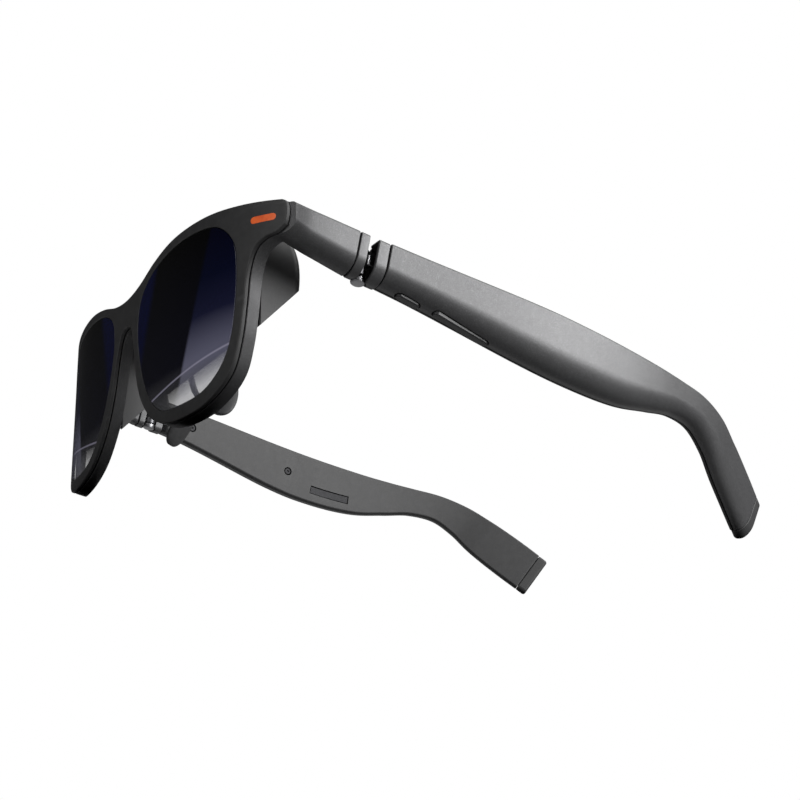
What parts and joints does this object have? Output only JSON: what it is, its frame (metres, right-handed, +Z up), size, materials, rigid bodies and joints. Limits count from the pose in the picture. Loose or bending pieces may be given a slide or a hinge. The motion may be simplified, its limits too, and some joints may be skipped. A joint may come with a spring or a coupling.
{
  "type": "smart glasses",
  "caption": "Display glasses with tinted lenses, a display optic behind each lens, focus sliders, two folding temples, and buttons under the left temple.",
  "frame": {"origin": "on the table under the middle of the open glasses: mid-plane, mid-depth, at the height where the rims and temple tips stand", "axes": "+X to the wearer's left, +Y from the face to the temple tips, +Z up from the table"},
  "size_m": [0.1528, 0.179, 0.0493],
  "materials": {
    "face_plastic": "matte, fine grain",
    "graphite_plastic": "satin, fine metallic speckle",
    "inner_plastic": "matte",
    "accent_plastic": "satin",
    "tinted_lens": "glossy, graded dark tint",
    "half_mirror": "half-silvered",
    "clear_optic": "clear",
    "display_glass": "gloss",
    "soft_pad": "soft matte silicone",
    "hinge_steel": "brushed",
    "circuit_board": "solder mask",
    "speaker_can": "pressed",
    "contact_metal": "gold plated"
  },
  "bodies": {
    "front": {"front_cover": "face_plastic", "main_frame": "graphite_plastic", "accent_inlay": "accent_plastic", "bridge_cover": "inner_plastic", "bridge_board": "circuit_board", "nose_bracket": "inner_plastic", "left_lens": "tinted_lens", "left_combiner": "half_mirror", "left_optics_housing": "inner_plastic", "left_beam_splitter": "half_mirror", "left_display_lens": "clear_optic", "left_nose_pad": "soft_pad", "left_arm_collar": "graphite_plastic", "left_hinge_bracket": "hinge_steel", "left_hinge_pin": "hinge_steel", "right_lens": "tinted_lens", "right_combiner": "half_mirror", "right_optics_housing": "inner_plastic", "right_beam_splitter": "half_mirror", "right_display_lens": "clear_optic", "right_nose_pad": "soft_pad", "right_arm_collar": "graphite_plastic", "right_hinge_bracket": "hinge_steel", "right_hinge_pin": "hinge_steel"},
    "left_temple": {"left_hinge_leaf": "hinge_steel", "left_temple_collar": "graphite_plastic", "left_temple_shell": "graphite_plastic", "left_temple_cover": "inner_plastic", "left_circuit_board": "circuit_board", "left_speaker": "speaker_can", "left_speaker_grille": "speaker_can", "left_tip": "inner_plastic", "left_screw_1": "hinge_steel", "left_screw_2": "hinge_steel"},
    "right_temple": {"right_hinge_leaf": "hinge_steel", "right_temple_collar": "graphite_plastic", "right_temple_shell": "graphite_plastic", "right_temple_cover": "inner_plastic", "right_circuit_board": "circuit_board", "right_speaker": "speaker_can", "right_speaker_grille": "speaker_can", "right_tip": "inner_plastic", "right_screw_1": "hinge_steel", "right_screw_2": "hinge_steel", "contact_strip": "contact_metal"},
    "function_button": {"function_button": "inner_plastic"},
    "rocker_button": {"rocker_button": "inner_plastic"},
    "left_slider": {"left_focus_slider": "inner_plastic"},
    "right_slider": {"right_focus_slider": "inner_plastic"},
    "left_display": {"left_display": "display_glass"},
    "right_display": {"right_display": "display_glass"}
  },
  "joints": [
    {"name": "left_temple_fold", "type": "hinge", "parent": "front", "child": "left_temple", "pos_m": [0.0677, -0.05509, 0.03783], "axis": [-0.0436, 0.1022, 0.9938], "range_deg": [0, 87.5]},
    {"name": "right_temple_fold", "type": "hinge", "parent": "front", "child": "right_temple", "pos_m": [-0.0677, -0.05509, 0.03783], "axis": [0.0436, 0.1022, 0.9938], "range_deg": [-77, 0]},
    {"name": "function_press", "type": "slide", "parent": "left_temple", "child": "function_button", "axis": [0, 0.2082, 0.9781], "range_m": [0, 0.0004], "stiffness_N_per_m": 400},
    {"name": "rocker_tilt", "type": "hinge", "parent": "left_temple", "child": "rocker_button", "pos_m": [0.07, -0.02823, 0.02825], "axis": [1, 0, 0], "range_deg": [-2.5, 2.5], "stiffness_Nm_per_rad": 0.05},
    {"name": "left_focus_slide", "type": "slide", "parent": "front", "child": "left_slider", "axis": [1, 0, 0], "range_m": [0, 0.006]},
    {"name": "right_focus_slide", "type": "slide", "parent": "front", "child": "right_slider", "axis": [-1, 0, 0], "range_m": [0, 0.006]},
    {"name": "left_display_shift", "type": "slide", "parent": "front", "child": "left_display", "axis": [0, -0.1023, -0.9948], "range_m": [0, 0.001]},
    {"name": "right_display_shift", "type": "slide", "parent": "front", "child": "right_display", "axis": [0, -0.1023, -0.9948], "range_m": [0, 0.001]}
  ],
  "couplings": [
    {"joint": "left_display_shift", "follows": "left_focus_slide", "ratio": 0.1665},
    {"joint": "right_display_shift", "follows": "right_focus_slide", "ratio": 0.1665}
  ]
}
